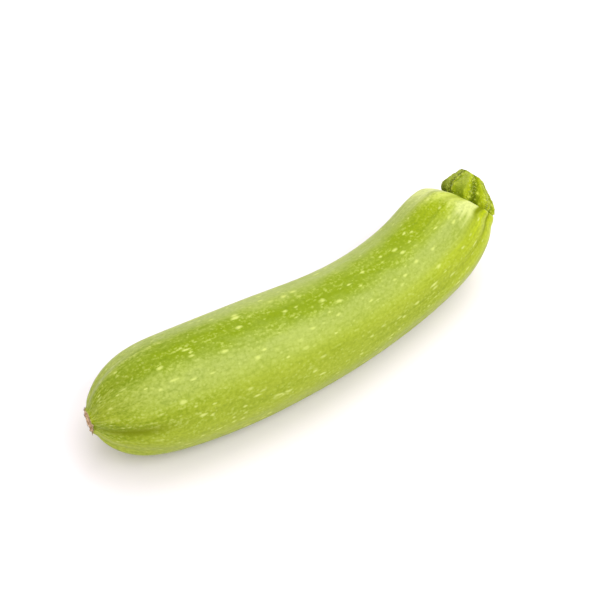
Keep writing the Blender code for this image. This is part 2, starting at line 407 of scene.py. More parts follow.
def skin_profile():
    """(radius, distance) of each ring: even radii over the scar, then half cosine, half even spacing."""
    scar_radii = np.linspace(0.0, SCAR_PATCH_RADIUS, SCAR_RINGS + 1)[1:-1]
    start = np.arccos(1.0 - 2.0 * tip_distance(SCAR_PATCH_RADIUS) / FRUIT_LENGTH)
    side = FRUIT_LENGTH * (1.0 - np.cos(np.linspace(start, pi, SKIN_RINGS))) / 2.0
    even = np.linspace(side[0], FRUIT_LENGTH, SKIN_RINGS)
    side = (side + even) / 2.0
    radii = np.concatenate([scar_radii, skin_radius(side), [SEAT_RADIUS / 2.0]])
    under_cork = SUNK_UNDER_CORK * (1.0 - smooth_step(scar_radii, *UNDER_CORK_EDGE))
    scar = tip_distance(scar_radii) + scar_depth(scar_radii) + under_cork
    distances = np.concatenate([scar, side, [FRUIT_LENGTH]])
    return radii, distances


print("rings of the skin:", len(skin_profile()[0]))

# %% Build the skin's rings and put them where the fruit's solid is
SKIN_AROUND = 264


def full_turn(count):
    """So many even angles, as one row."""
    return (np.arange(count) * 2.0 * pi / count)[None, :]


def skin_rings():
    """Rings of the skin: the profile's radius plus both reliefs, shifted at the seat, bent and rested."""
    radius, distance = (column[:, None] for column in skin_profile())
    radius, distance, angle = np.broadcast_arrays(radius, distance, full_turn(SKIN_AROUND))
    straight = around_axis(radius, angle, distance)
    relief = broad_relief(angle, distance) + fine_relief(angle, distance, straight)
    raised = radius + relief * smooth_step(radius, SCAR_RING_RADIUS, 2.0 * SCAR_RING_RADIUS)
    leaning = around_axis(raised, angle, distance)
    leaning[..., 0] += seat_shift(distance)
    return bend(leaning), straight, angle


rings, straight, angle = skin_rings()
solid_low, solid_high = (np.array(corner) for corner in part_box("fruit"))
OFFSET = (rings.min(axis=(0, 1)) + rings.max(axis=(0, 1)) - solid_low - solid_high) / 2.0
OFFSET[2] = 0.0


def rested(bent):
    """Bent points moved to the solid's own place, and kept above the surface."""
    moved = bent - OFFSET
    moved[..., 2] = np.maximum(moved[..., 2], 0.0)
    return moved


def place(straight_points):
    """Straight points carried to the bent line and rested."""
    return rested(bend(straight_points))


rings = rested(rings)
blossom_tip = (0.0, 0.0, scar_depth(0.0) + SUNK_UNDER_CORK)
seat_tip = (seat_shift(FRUIT_LENGTH), 0.0, FRUIT_LENGTH)
skin_mesh = ring_mesh("fruit_skin", rings, *place(np.array([blossom_tip, seat_tip])))
low_gap = rings.min(axis=(0, 1)) - solid_low
high_gap = rings.max(axis=(0, 1)) - solid_high
print("skin against the solid, low and high, mm:", np.round(low_gap / MM, 2), np.round(high_gap / MM, 2))

# %% Where the stripes run
STRIPE_WANDER = radians(4.0)
STRIPE_SWINGS = 1.3
STRIPE_SWING_START = 0.6
STRIPE_SHARPNESS = 1.4
STRIPE_STRENGTHS = (1.0, 0.28, 0.75, 0.5, 0.85)
STRIPE_END_REACH = 22.0 * MM
BLOSSOM_WASHES = (0.55, 0.0, 0.4, 0.4, 0.4)
BLOSSOM_WASH_EDGE = (8.0 * MM, 36.0 * MM)


def stripe_share(angle, distance):
    """0 in pale skin and 1 in the darkest: half a cosine raised, times the stripe's own strength.

    Every stripe is full near both ends of the fruit and fades to its own strength along the body. At the
    blossom end itself most of them are washed out again, each by its own share.
    """
    turns = 2.0 * pi * distance / FRUIT_LENGTH
    wander = STRIPE_WANDER * np.sin(STRIPE_SWINGS * turns + STRIPE_SWING_START)
    across = angle - STRIPE_OFFSET + wander
    _, number = from_rib(across)
    on_body = np.array(STRIPE_STRENGTHS)[number]
    to_end = np.minimum(distance, FRUIT_LENGTH - distance)
    strength = on_body + (1.0 - on_body) * np.exp(-to_end / STRIPE_END_REACH)
    washed = np.array(BLOSSOM_WASHES)[number] * (1.0 - smooth_step(distance, *BLOSSOM_WASH_EDGE))
    return strength * (1.0 - washed) * ((1.0 + rib_wave(across, RIBS)) / 2.0) ** STRIPE_SHARPNESS


print("stripes:", RIBS, "with strengths", STRIPE_STRENGTHS)

# %% What the skin's finish has to know at each point
TUBE_RADIUS = 20.0 * MM
YELLOW_RIB_OFFSET = radians(12.0)
YELLOW_RIB_EDGE = (-0.8, 0.1)
YELLOW_RIB_REACH = 22.0 * MM
# A painted highlight: the pale shoulder reaches further from the stem along this side.
SHOULDER_HIGHLIGHT_SIDE = radians(45.0)
SHOULDER_HIGHLIGHT_EDGE = (0.7, 1.0)
SHOULDER_HIGHLIGHT_GAIN = 0.6
NEAR_STEM_REACH = 8.0 * MM
NEAR_BLOSSOM_REACH = 12.0 * MM
# The upper side is paler and whiter: partly sun-bleached skin, partly a painted sheen.
BLEACH_AND_SHEEN_SIDE = radians(78.0)
BLEACH_AND_SHEEN_EDGE = (0.2, 0.85)
SCAR_EDGE = (4.3 * MM, 5.1 * MM)


def rolled_out(straight, angle):
    """The skin as if drawn onto an even tube: round it by the angle, along it by the way walked from the tip.

    A pattern drawn in these coordinates narrows towards both ends with the skin, as the real one does.
    """
    radius, distance = np.hypot(straight[:, 0, 0], straight[:, 0, 1]), straight[:, 0, 2]
    walked = np.cumsum(np.hypot(np.diff(radius, prepend=0.0), np.diff(distance, prepend=distance[0])))
    return around_axis(TUBE_RADIUS, angle, walked[:, None])


def paint_skin(mesh, straight, angle):
    """Rolled-out coordinates, stripe, creases, ribs, side of bleach and painted sheen, nearness to ends, and
    the scar.
    """
    distance = straight[..., 2]
    radius = np.hypot(straight[..., 0], straight[..., 1])
    shoulder, blossom = creases(angle, distance)
    to_seat = FRUIT_LENGTH - distance
    rib = smooth_step(rib_wave(angle - YELLOW_RIB_OFFSET, RIBS), *YELLOW_RIB_EDGE)
    rib = rib * crease_strength(angle, YELLOW_RIB_OFFSET) * np.exp(-to_seat / YELLOW_RIB_REACH)
    rolled = rolled_out(straight, angle)
    # The pale of the shoulder reaches further up the far side: a painted highlight.
    shoulder_highlight = smooth_step(np.cos(angle - SHOULDER_HIGHLIGHT_SIDE), *SHOULDER_HIGHLIGHT_EDGE)
    near_stem = np.exp(-to_seat / (NEAR_STEM_REACH * (1.0 + SHOULDER_HIGHLIGHT_GAIN * shoulder_highlight)))
    scar = np.where(distance < FRUIT_LENGTH / 2.0, 1.0 - smooth_step(radius, *SCAR_EDGE), 0.0)
    write_attributes(mesh, {
        "rolled": (rolled, (0.0, 0.0, 0.0), (0.0, 0.0, rolled[-1, 0, 2])),
        "stripe": (stripe_share(angle, distance), 0.0, 0.0),
        "crease": (np.clip(shoulder + blossom, 0.0, 1.0), 0.0, 0.0),
        "rib": (rib, 0.0, 0.0),
        "bleach_and_sheen": (smooth_step(np.cos(angle - BLEACH_AND_SHEEN_SIDE), *BLEACH_AND_SHEEN_EDGE), 0.0, 0.0),
        "near_stem": (near_stem, 0.0, 1.0),
        "near_blossom": (np.exp(-distance / NEAR_BLOSSOM_REACH), 1.0, 0.0),
        "scar": (scar, 1.0, 0.0),
    })


paint_skin(skin_mesh, straight, angle)
print("attributes of the skin:", [layer.name for layer in skin_mesh.attributes if layer.data_type != "INT"])

# %% [markdown]
# ## Helpers for materials
#
# A material is a small program of nodes. Writing each node in full takes four lines, so these helpers add a
# node, set it and wire it in one call. What is needed more than once is a node group with named sockets:
# flecks, mottle and a fine net, each built once and given other values wherever it is used.

# %% One call for a node


def fill(tree, made, inputs):
    """Sets each input of a node to a value, or wires it to a socket."""
    for name, value in inputs.items():
        if isinstance(value, bpy.types.NodeSocket):
            tree.links.new(value, made.inputs[name])
        else:
            made.inputs[name].default_value = value


def node(tree, kind, inputs=None, **settings):
    """Adds a node, sets its properties and fills its inputs."""
    made = tree.nodes.new(kind)
    for name, value in settings.items():
        setattr(made, name, value)
    fill(tree, made, inputs or {})
    return made


# %% Sums, colours and normals


def math(tree, operation, *values):
    """A Math node on up to three values or sockets."""
    return node(tree, "ShaderNodeMath", dict(enumerate(values)), operation=operation).outputs[0]


def times(tree, first, second):
    """The product of two values."""
    return math(tree, "MULTIPLY", first, second)


def add_up(tree, total, *parts):
    """A value plus others, each times its own weight."""
    for value, weight in parts:
        total = math(tree, "MULTIPLY_ADD", value, weight, total)
    return total


def vector_math(tree, operation, inputs):
    """A Vector Math node on vectors or sockets."""
    return node(tree, "ShaderNodeVectorMath", inputs, operation=operation).outputs[0]


def remap(tree, value, low, high, to_low=0.0, to_high=1.0):
    """Carries low..high to to_low..to_high along a smooth S, and holds it there beyond."""
    inputs = {0: value, 1: low, 2: high, 3: to_low, 4: to_high}
    return node(tree, "ShaderNodeMapRange", inputs, interpolation_type="SMOOTHSTEP").outputs[0]


def layered(tree, colour, *layers):
    """Colours laid one over another: a layer shows where its share is 1, and what is below where it is 0."""
    for share, layer in layers:
        inputs = {0: share, 6: colour, 7: layer}
        colour = node(tree, "ShaderNodeMix", inputs, data_type="RGBA", clamp_factor=True).outputs[2]
    return colour


def bumped(tree, height, depth, strength):
    """The normal tilted by a height, as deep as depth."""
    inputs = {"Height": height, "Distance": depth, "Strength": strength}
    return node(tree, "ShaderNodeBump", inputs).outputs[0]


def read(tree, *names, output="Fac"):
    """What write_attributes kept on the mesh under each of the names."""
    return [node(tree, "ShaderNodeAttribute", attribute_name=name).outputs[output] for name in names]


# %% A node group with named sockets


def new_group(name, inputs, output):
    """An empty node group with float inputs after its Vector, their defaults, and one float output.

    Every group has a size and a stretch, and works on the vector in those units: x and y over the size, z
    over the size times the stretch, so that the pattern is drawn out along Z.
    """
    group = bpy.data.node_groups.new(name, "ShaderNodeTree")
    group.interface.new_socket("Vector", in_out="INPUT", socket_type="NodeSocketVector")
    for socket_name, default in inputs.items():
        socket = group.interface.new_socket(socket_name, in_out="INPUT", socket_type="NodeSocketFloat")
        socket.default_value = default
    group.interface.new_socket(output, in_out="OUTPUT", socket_type="NodeSocketFloat")
    given = group.nodes.new("NodeGroupInput").outputs
    lengthwise = times(group, given["Size"], given["Stretch"])
    divisor = node(group, "ShaderNodeCombineXYZ", {0: given["Size"], 1: given["Size"], 2: lengthwise})
    where = vector_math(group, "DIVIDE", {0: given["Vector"], 1: divisor.outputs[0]})
    return group, given, where, group.nodes.new("NodeGroupOutput").inputs[0]


# %% Flecks, mottle and net
FEW_LARGE_FLECKS = 1.6
FLECK_CORE = 0.25
WOBBLE_FINENESS = 3.0


def flecks_group():
    """Scattered flecks: cells a size apart, each with a blob of its own radius, or with none.

    The fleck is 1 where the distance to the cell's point is under the radius, softened at its edge. A
    wobble of the vector keeps the blobs from being round.
    """
    inputs = {"Size": 3 * MM, "Stretch": 2.0, "Share": 0.6, "Smallest": 0.1, "Largest": 0.3, "Wobble": 0.25}
    group, given, where, result = new_group("Flecks", inputs, "Fleck")
    inputs = {"Vector": where, "Scale": WOBBLE_FINENESS, "Detail": 2.0}
    noise = node(group, "ShaderNodeTexNoise", inputs).outputs["Color"]
    centred = vector_math(group, "SUBTRACT", {0: noise, 1: (0.5, 0.5, 0.5)})
    moved = vector_math(group, "SCALE", {0: centred, "Scale": given["Wobble"]})
    wobbled = vector_math(group, "ADD", {0: where, 1: moved})
    cells = node(group, "ShaderNodeTexVoronoi", {"Vector": wobbled, "Scale": 1.0}).outputs
    chance = node(group, "ShaderNodeSeparateColor", {0: cells["Color"]}).outputs
    spread = math(group, "SUBTRACT", given["Largest"], given["Smallest"])
    bigger = math(group, "POWER", chance[0], FEW_LARGE_FLECKS)
    radius = math(group, "MULTIPLY_ADD", bigger, spread, given["Smallest"])
    inside = remap(group, cells["Distance"], times(group, radius, FLECK_CORE), radius, 1.0, 0.0)
    kept = math(group, "LESS_THAN", chance[1], given["Share"])
    group.links.new(times(group, inside, kept), result)
    return group


def mottle_group():
    """Cloudy unevenness from -1 to 1: layered noise, its middle half stretched to the full range."""
    inputs = {"Size": 5 * MM, "Stretch": 1.0, "Detail": 3.0}
    group, given, where, result = new_group("Mottle", inputs, "Mottle")
    noise = node(group, "ShaderNodeTexNoise", {"Vector": where, "Scale": 1.0, "Detail": given["Detail"]})
    group.links.new(remap(group, noise.outputs[0], 0.25, 0.75, -1.0, 1.0), result)
    return group


def net_group():
    """A fine net: 1 on the borders between small cells and 0 in their middles."""
    group, given, where, result = new_group("Net", {"Size": 1 * MM, "Stretch": 1.5, "Width": 0.2}, "Net")
    cells = node(group, "ShaderNodeTexVoronoi", {"Vector": where, "Scale": 1.0}, feature="DISTANCE_TO_EDGE")
    group.links.new(remap(group, cells.outputs["Distance"], 0.0, given["Width"], 1.0, 0.0), result)
    return group


FLECKS, MOTTLE, NET = flecks_group(), mottle_group(), net_group()
print("node groups:", [group.name for group in bpy.data.node_groups])

# %% Groups in a material


def use(tree, group, where, *patterns):
    """Places a node group once for each pattern, which gives it its values. Gives the outputs."""
    filled = [{"Vector": where, **pattern} for pattern in patterns]
    return [node(tree, "ShaderNodeGroup", inputs, node_tree=group).outputs[0] for inputs in filled]


def between(tree, mottle, low, high):
    """A mottle, -1 to 1, carried to low..high."""
    return remap(tree, mottle, -1.0, 1.0, low, high)


def new_material(name):
    """A material with its node tree and its Principled BSDF."""
    made = bpy.data.materials.new(name)
    made.use_nodes = True
    return made, made.node_tree, made.node_tree.nodes["Principled BSDF"]


# %% [markdown]
# ## The finish of the skin
#
# Held close, the skin is four layers. The ground goes from pale to deeper green across each stripe. The upper
# side is paler and whiter, partly from sun bleaching and partly as a painted sheen, and the blossom end is
# painted a little darker and without the sheen's blue, as painted shade. Over it lies a fine net and mottle,
# liveliest at the blossom end, which is what makes the green look alive. Then come the flecks: faint specks,
# dots of a millimetre, and fewer dashes and blots drawn out along the fruit. Near the stem the skin turns
# pale, further up the far side as a painted highlight, and one rib yellow-green, and at the blossom end pale
# rays run out from the scar. The wax itself is a soft gloss broken by the grain, so it is roughness and a
# thin coat, and
# not white paint. A crease holds no wax: it is rougher and has no coat, and it is painted darker as shade.
#
# All of this could be one picture wrapped round the fruit, but a picture has a seam and one fixed sharpness.
# Patterns worked out from the rolled-out coordinates have neither, and each layer keeps its own few numbers.

# %% The skin's colours and patterns
PALE_GREEN = (0.340, 0.412, 0.026, 1.0)
BLEACHED_AND_SHEEN_GREEN = (0.360, 0.430, 0.088, 1.0)
# Painted shade: the blossom end a little darker and without the sheen's blue.
BLOSSOM_SHADE_GREEN = (0.330, 0.400, 0.0, 1.0)
DEEP_GREEN = (0.205, 0.285, 0.0, 1.0)
DEEPEST_GREEN = (0.165, 0.240, 0.0, 1.0)
FLECK_COLOUR = (0.55, 0.62, 0.15, 1.0)
YELLOW_GREEN = (0.41, 0.49, 0.0, 1.0)
STEM_PALE = (0.52, 0.59, 0.12, 1.0)
STEM_BLEACHED_AND_SHEEN = (0.585, 0.640, 0.225, 1.0)
# Painted shade in the creases.
CREASE_SHADE_GREEN = (0.17, 0.215, 0.0, 1.0)
RAY_COLOUR = (0.48, 0.54, 0.09, 1.0)
CORK_COLOUR = (0.52, 0.42, 0.20, 1.0)

BROAD_MOTTLE = {"Size": 14.0 * MM, "Stretch": 2.5, "Detail": 2.0}
CLOUDS = {"Size": 3.4 * MM, "Stretch": 1.8, "Detail": 3.0}
FINE_GRAIN = {"Size": 1.1 * MM, "Stretch": 1.3, "Detail": 3.0}
STREAKS = {"Size": 1.5 * MM, "Stretch": 14.0, "Detail": 2.0}
RAYS = {"Size": 1.8 * MM, "Stretch": 6.0, "Detail": 2.0}
SKIN_NET = {"Size": 1.5 * MM, "Stretch": 1.4, "Width": 0.25}
SPECKS = {"Size": 1.8 * MM, "Stretch": 1.3, "Share": 0.85, "Smallest": 0.20, "Largest": 0.38}
DOTS = {"Size": 3.0 * MM, "Stretch": 2.1, "Share": 0.9, "Smallest": 0.17, "Largest": 0.36}
DASHES = {"Size": 4.4 * MM, "Stretch": 3.2, "Share": 0.95, "Smallest": 0.11, "Largest": 0.21}
BLOTS = {"Size": 9.0 * MM, "Stretch": 2.4, "Share": 0.5, "Smallest": 0.07, "Largest": 0.17, "Wobble": 0.45}
print("flecks, mm apart:", [round(pattern["Size"] / MM, 1) for pattern in (SPECKS, DOTS, DASHES, BLOTS)])

# %% How much of each layer the skin gets
STRIPE_MOTTLE = 0.22
STRIPE_EDGE = (-0.25, 1.15)
SHOULDER_STREAKS = 0.08
SHOULDER_SHADE = -0.14
SHOULDER_EDGE = (0.07, 0.52)
YELLOW_RIB = 1.3
YELLOW_STREAKS = 0.4
CLOUD_SHARE = 0.18
FINE_STREAK_NET_SHARES = (0.30, 0.14, -0.17)
BODY_LIVELINESS = 0.86
BLOSSOM_LIVELINESS = 1.35
BLOSSOM_REACH_POWER = 0.4
GRAIN_BY_SHADE = (0.1, 0.8, 0.72, 1.25)
LIGHT_GRAIN = 0.8
SPECK_STRENGTH = 0.32
DOT_STRENGTH = 0.9
FLECKS_BY_SHADE = (0.0, 0.7, 0.88, 0.95)
RAY_EDGE = (0.1, 0.8)
RAY_STRENGTH = 0.6
SCAR_GRAIN = 0.2
SCAR_COLOUR_EDGE = (0.2, 0.8)
SKIN_ROUGHNESS = (0.38, 0.50)
FLECK_CREASE_SCAR_ROUGHNESS = (0.08, 0.4, 0.35)
WAX_OUTSIDE_CREASES = (0.0, 0.4, 0.05, 0.0)
GRAIN_IN_BUMP = 0.5
FLECKS_IN_BUMP = 0.5
SKIN_BUMP = {"depth": 0.05 * MM, "strength": 0.6}
SKIN_GLOSS = {
    "Specular IOR Level": 0.15,
    "Coat Roughness": 0.28,
    "Subsurface Weight": 0.12,
    "Subsurface Radius": (1.0, 1.0, 0.3),
    "Subsurface Scale": 1.5 * MM,
}
print("roughness of the skin, low and high:", SKIN_ROUGHNESS)

# %% Skin material


def skin_material():
    """Ground, net, flecks, shoulder, creases, rays and cork, laid one over another; then gloss and grain.

    The ground has a painted sheen on its upper side and painted shade at the blossom end, the shoulder a
    painted highlight up its far side, and the creases painted shade.
    """
    made, tree, surface = new_material("waxy pale green skin")
    (where,) = read(tree, "rolled", output="Vector")
    mottles = (BROAD_MOTTLE, CLOUDS, FINE_GRAIN, STREAKS, RAYS)
    broad, cloud, fine, streak, ray = use(tree, MOTTLE, where, *mottles)
    specks, dots, dashes, blots = use(tree, FLECKS, where, SPECKS, DOTS, DASHES, BLOTS)
    (net,) = use(tree, NET, where, SKIN_NET)
    stripe, bleach_and_sheen, rib, crease, scar = read(tree, "stripe", "bleach_and_sheen", "rib", "crease", "scar")
    near_stem, near_blossom = read(tree, "near_stem", "near_blossom")

    dark = add_up(tree, stripe, (broad, STRIPE_MOTTLE), (cloud, STRIPE_MOTTLE))
    dark = remap(tree, dark, *STRIPE_EDGE)
    shoulder = add_up(tree, near_stem, (streak, SHOULDER_STREAKS), (dark, SHOULDER_SHADE))
    yellow = times(tree, rib, add_up(tree, YELLOW_RIB, (streak, YELLOW_STREAKS)))
    grain = add_up(tree, times(tree, cloud, CLOUD_SHARE), *zip((fine, streak, net), FINE_STREAK_NET_SHARES))
    lively = math(tree, "POWER", near_blossom, BLOSSOM_REACH_POWER)
    grain = times(tree, grain, add_up(tree, BODY_LIVELINESS, (lively, BLOSSOM_LIVELINESS)))
    grain = times(tree, grain, remap(tree, dark, *GRAIN_BY_SHADE))
    faint = math(tree, "MAXIMUM", times(tree, dots, DOT_STRENGTH), times(tree, specks, SPECK_STRENGTH))
    fleck = math(tree, "MAXIMUM", math(tree, "MAXIMUM", dashes, blots), faint)
    rays = times(tree, remap(tree, ray, *RAY_EDGE), near_blossom)

    colour = layered(
        tree,
        PALE_GREEN,
        # Upper side: partly sun-bleached skin, partly painted sheen.
        (bleach_and_sheen, BLEACHED_AND_SHEEN_GREEN),
        # Painted shade at the blossom end: a little darker, without the sheen's blue.
        (near_blossom, BLOSSOM_SHADE_GREEN),
        (dark, DEEP_GREEN),
        # Pale shoulder: its own pale skin, with painted sheen on the upper side and a painted highlight up
        # the far side.
        (remap(tree, shoulder, *SHOULDER_EDGE), layered(tree, STEM_PALE, (bleach_and_sheen, STEM_BLEACHED_AND_SHEEN))),
        (yellow, YELLOW_GREEN),
        (times(tree, grain, -1.0), DEEPEST_GREEN),
        (times(tree, grain, LIGHT_GRAIN), FLECK_COLOUR),
        (times(tree, fleck, remap(tree, dark, *FLECKS_BY_SHADE)), FLECK_COLOUR),
        (times(tree, rays, RAY_STRENGTH), RAY_COLOUR),
        # Painted shade: each crease darkened where shade falls in it.
        (crease, CREASE_SHADE_GREEN),
        (remap(tree, add_up(tree, scar, (fine, SCAR_GRAIN)), *SCAR_COLOUR_EDGE), CORK_COLOUR),
    )
    rough = between(tree, cloud, *SKIN_ROUGHNESS)
    rough = add_up(tree, rough, *zip((fleck, crease, scar), FLECK_CREASE_SCAR_ROUGHNESS))
    waxed = remap(tree, crease, *WAX_OUTSIDE_CREASES)
    height = add_up(tree, times(tree, fine, GRAIN_IN_BUMP), (fleck, FLECKS_IN_BUMP))
    normal = bumped(tree, height, **SKIN_BUMP)
    finish = {"Base Color": colour, "Roughness": rough, "Coat Weight": waxed, "Normal": normal}
    fill(tree, surface, {**finish, **SKIN_GLOSS})
    return made


add_piece(skin_mesh, skin_material(), "fruit")

# %% [markdown]
# ## The stem
#
# The stub of stem is what grew hardest: five strong ridges with a faint one between each pair, a foot that
# spreads in lobes over the shoulder, and a rough dry skin with pale warts. It is one more set of rings, from
# the middle of the foot up the side and in over the cut to the pith. The solid's formula gives the form. The
# roughness is added on the rings, so that the outline is rough as well. The warts could be random lumps like
# the skin's, but those run together into ridges: separate bells round random points stay separate warts.

# %% Sizes of the stem, the same as the solid's
STEM_HEIGHT = 11.4 * MM
STEM_FOOT_RADIUS = 10.0 * MM
STEM_FOOT_BULGE = 10.8 * MM
STEM_FOOT_BULGE_HEIGHT = 2.2 * MM
STEM_TOP_RADIUS = 4.7 * MM
STEM_LEAN = 17.0
STEM_RIDGE = 0.13
STEM_MINOR_RIDGE = 0.05
STEM_CUT_TILT = 5.0
STEM_CUT_DISH = 0.5 * MM


def stem_side_radius(height):
    """Radius at a height above the seat: a foot that bulges as a quarter sine, then an S down to the cut."""
    foot = STEM_FOOT_RADIUS + (STEM_FOOT_BULGE - STEM_FOOT_RADIUS) * np.sin(
        np.clip(height / STEM_FOOT_BULGE_HEIGHT, 0.0, 1.0) * pi / 2.0
    )
    ends = (STEM_FOOT_BULGE_HEIGHT, STEM_HEIGHT + STEM_FOOT_BULGE_HEIGHT)
    rise = smooth_step(height, *ends) / smooth_step(STEM_HEIGHT, *ends)
    return foot + (STEM_TOP_RADIUS - STEM_FOOT_BULGE) * rise


def stem_straight(radius, angle, height):
    """The straight points of the stem: ridged, leaning, and slanted as the square of the way to the cut."""
    ridges = STEM_RIDGE * rib_wave(angle, RIBS) + STEM_MINOR_RIDGE * rib_wave(angle, 2 * RIBS)
    ridged = radius * (1.0 + ridges)
    slant = np.tan(radians(STEM_CUT_TILT)) * ridged * np.cos(angle) * (height / STEM_HEIGHT) ** 2
    along = FRUIT_LENGTH + height + slant
    points = around_axis(ridged, angle, along)
    points[..., 0] += np.tan(radians(STEM_LEAN)) * height + seat_shift(along)
    return points


print("stem, mm high and wide at the foot:", STEM_HEIGHT / MM, 2.0 * STEM_FOOT_BULGE / MM)

# %% Warts on the stem
PALE_RIDGE_SHIFT = radians(12.0)
RIDGE_BACK_EDGE = (0.2, 0.9)
WARTS = 350
WART_RADII = (0.22 * MM, 0.52 * MM)


def ridge_back(angle):
    """1 along the smooth back of each main ridge, where its wave is near 1, and 0 on its rough flanks."""
    return smooth_step(rib_wave(angle - PALE_RIDGE_SHIFT, RIBS), *RIDGE_BACK_EDGE)


def on_side(angle, height):
    """Points on the plain round side of the stem, without its ridges, seat at height 0."""
    return around_axis(stem_side_radius(height), angle, height)


def wart_cover(angle, height):
    """The highest of many bells round random points of the side. A wide wart is also a high one, up to 1."""
    rng = np.random.default_rng(12)
    centres = on_side(rng.uniform(0.0, 2.0 * pi, WARTS), rng.uniform(0.0, STEM_HEIGHT, WARTS))
    radii = rng.uniform(*WART_RADII, WARTS)
    side = on_side(angle, height)
    cover = np.zeros(side.shape[:2])
    for centre, radius in zip(centres, radii):
        away = np.linalg.norm(side - centre, axis=-1)
        cover = np.maximum(cover, radius / WART_RADII[1] * bump(away, 0.0, radius))
    return cover


print("warts:", WARTS, "up to", 2.0 * WART_RADII[1] / MM, "mm wide")

# %% Relief of the stem
FINE_RIDGE_SHIFT = radians(27.0)
LOBE_SPREAD = 0.2 * MM
LOBE_HEIGHT = 1.6 * MM
GROOVE_DEPTH = 0.75 * MM
GROOVE_LEFT_AT_CUT = 0.6
STRIATIONS = 34
STRIATION_HEIGHT = 0.14 * MM
STRIATION_WANDER = 0.15
STRIATION_WANDER_SIZE = 3.0 * MM
WART_HEIGHT = 0.34 * MM
WARTS_LEFT_ON_BACK = 0.2
ROUGHNESS_SIZE = 0.45 * MM
ROUGHNESS_HEIGHT = 0.09 * MM
ROUGHNESS_TUBE = 8.0 * MM


def stem_relief(angle, height):
    """Lobes that spread at the foot under each ridge, fine striations, warts and roughness."""
    where = around_axis(ROUGHNESS_TUBE, angle, height)
    fine_ridges = rib_wave(angle - FINE_RIDGE_SHIFT, 2 * RIBS)
    lobes = LOBE_SPREAD * fine_ridges * bump(height, LOBE_HEIGHT, LOBE_HEIGHT)
    groove = (1.0 - fine_ridges) / 2.0 * (1.0 - (1.0 - GROOVE_LEFT_AT_CUT) * height / STEM_HEIGHT)
    wander = STRIATION_WANDER * lumps(where, STRIATION_WANDER_SIZE, seed=11)
    striation = STRIATION_HEIGHT * np.cos(STRIATIONS * (angle + wander))
    warts = wart_cover(angle, height) * (1.0 - (1.0 - WARTS_LEFT_ON_BACK) * ridge_back(angle))
    rough = ROUGHNESS_HEIGHT * lumps(where, ROUGHNESS_SIZE, seed=13)
    return lobes - GROOVE_DEPTH * groove + striation + WART_HEIGHT * warts + rough, warts


print("grooves of the stem, mm deep:", GROOVE_DEPTH / MM)

# %% Build the stem
STEM_AROUND = 240
STEM_SIDE_RINGS = 110
STEM_CUT_RINGS = 34
STEM_SUNK = 0.5 * MM
CUT_RIM_ROUND = 0.35 * MM
CUT_RIM_INSET = 0.04
CUT_RIM_FROM = 0.9
CUT_RIM_DROP = 0.15 * MM
VESSEL_HEIGHT = 0.12 * MM
VESSEL_PLACE = 0.68
VESSEL_HALF_WIDTH = 0.1
VESSEL_WAVE = 0.4
PITH_RADIUS = 1.5 * MM
PITH_DEPTH = 0.5 * MM
CUT_LUMPS = ((0.10 * MM, 0.7 * MM, 14), (0.05 * MM, 0.3 * MM, 15))


def layered_lumps(points, layers):
    """Several reliefs added up, each with its own height, size and seed."""
    return sum(height * lumps(points, size, seed) for height, size, seed in layers)


def stem_rings():
    """Rings from the foot's middle up the side, then in over the cut.

    The cut is a shallow dish: its height falls as the square of the way in, a rounded rim leads into it,
    a ring of vessels, a bell of the share of the radius, stands a little proud, and the pith in the middle
    has dried and sunk.
    """
    height = np.linspace(-STEM_SUNK, STEM_HEIGHT, STEM_SIDE_RINGS)[:, None]
    height, side_angle = np.broadcast_arrays(height, full_turn(STEM_AROUND))
    relief, warts = stem_relief(side_angle, height)
    near_cut = 1.0 - smooth_step(height, STEM_HEIGHT - CUT_RIM_ROUND, STEM_HEIGHT)
    rim = STEM_TOP_RADIUS * CUT_RIM_INSET * (1.0 - near_cut)
    side = stem_straight(stem_side_radius(height) + relief * near_cut - rim, side_angle, height)

    share = np.linspace(1.0, 0.0, STEM_CUT_RINGS + 2)[1:-1][:, None]
    share, cut_angle = np.broadcast_arrays(share, full_turn(STEM_AROUND))
    radius = share * STEM_TOP_RADIUS * (1.0 - CUT_RIM_INSET)
    flat = around_axis(radius, cut_angle, 0.0)
    vessels = VESSEL_HEIGHT * bump(share, VESSEL_PLACE, VESSEL_HALF_WIDTH)
    vessels = vessels * (1.0 - VESSEL_WAVE * (1.0 - rib_wave(cut_angle, 2 * RIBS)))
    pith = PITH_DEPTH * bump(radius, 0.0, PITH_RADIUS)
    at_rim = smooth_step(share, CUT_RIM_FROM, 1.0)
    raised = vessels + layered_lumps(flat, CUT_LUMPS) * (1.0 - at_rim)
    depth = STEM_CUT_DISH * (1.0 - share**2) + pith + CUT_RIM_DROP * at_rim - raised
    cut = stem_straight(radius, cut_angle, STEM_HEIGHT - depth)
    return np.concatenate([side, cut]), warts, share


stem_points, stem_warts, cut_share = stem_rings()
foot_tip = stem_straight(np.array(0.0), np.array(0.0), np.array(-STEM_SUNK))
pith_tip = stem_straight(np.array(0.0), np.array(0.0), np.array(STEM_HEIGHT - STEM_CUT_DISH - PITH_DEPTH))
stem_mesh = ring_mesh("stem_bark", place(stem_points), place(foot_tip), place(pith_tip))
print("stem rings:", stem_points.shape[0], "of", STEM_AROUND)

# %% What the stem's finish has to know at each point
# Painted light on one side of the stem, and painted shade on the upper far side near the cut.
LIT_SIDE = radians(150.0)
SHADED_SIDE = radians(42.0)
SHADED_SIDE_EDGE = (0.78, 1.0)
SHADED_HEIGHTS = (0.2, 0.9)
BACK_HEIGHTS = (0.05, 0.6)
MAIN_SHARE = 0.35
FINE_SHARE = 0.65
LIT_SHARE = 0.5
SHADED_SHARE = 0.75


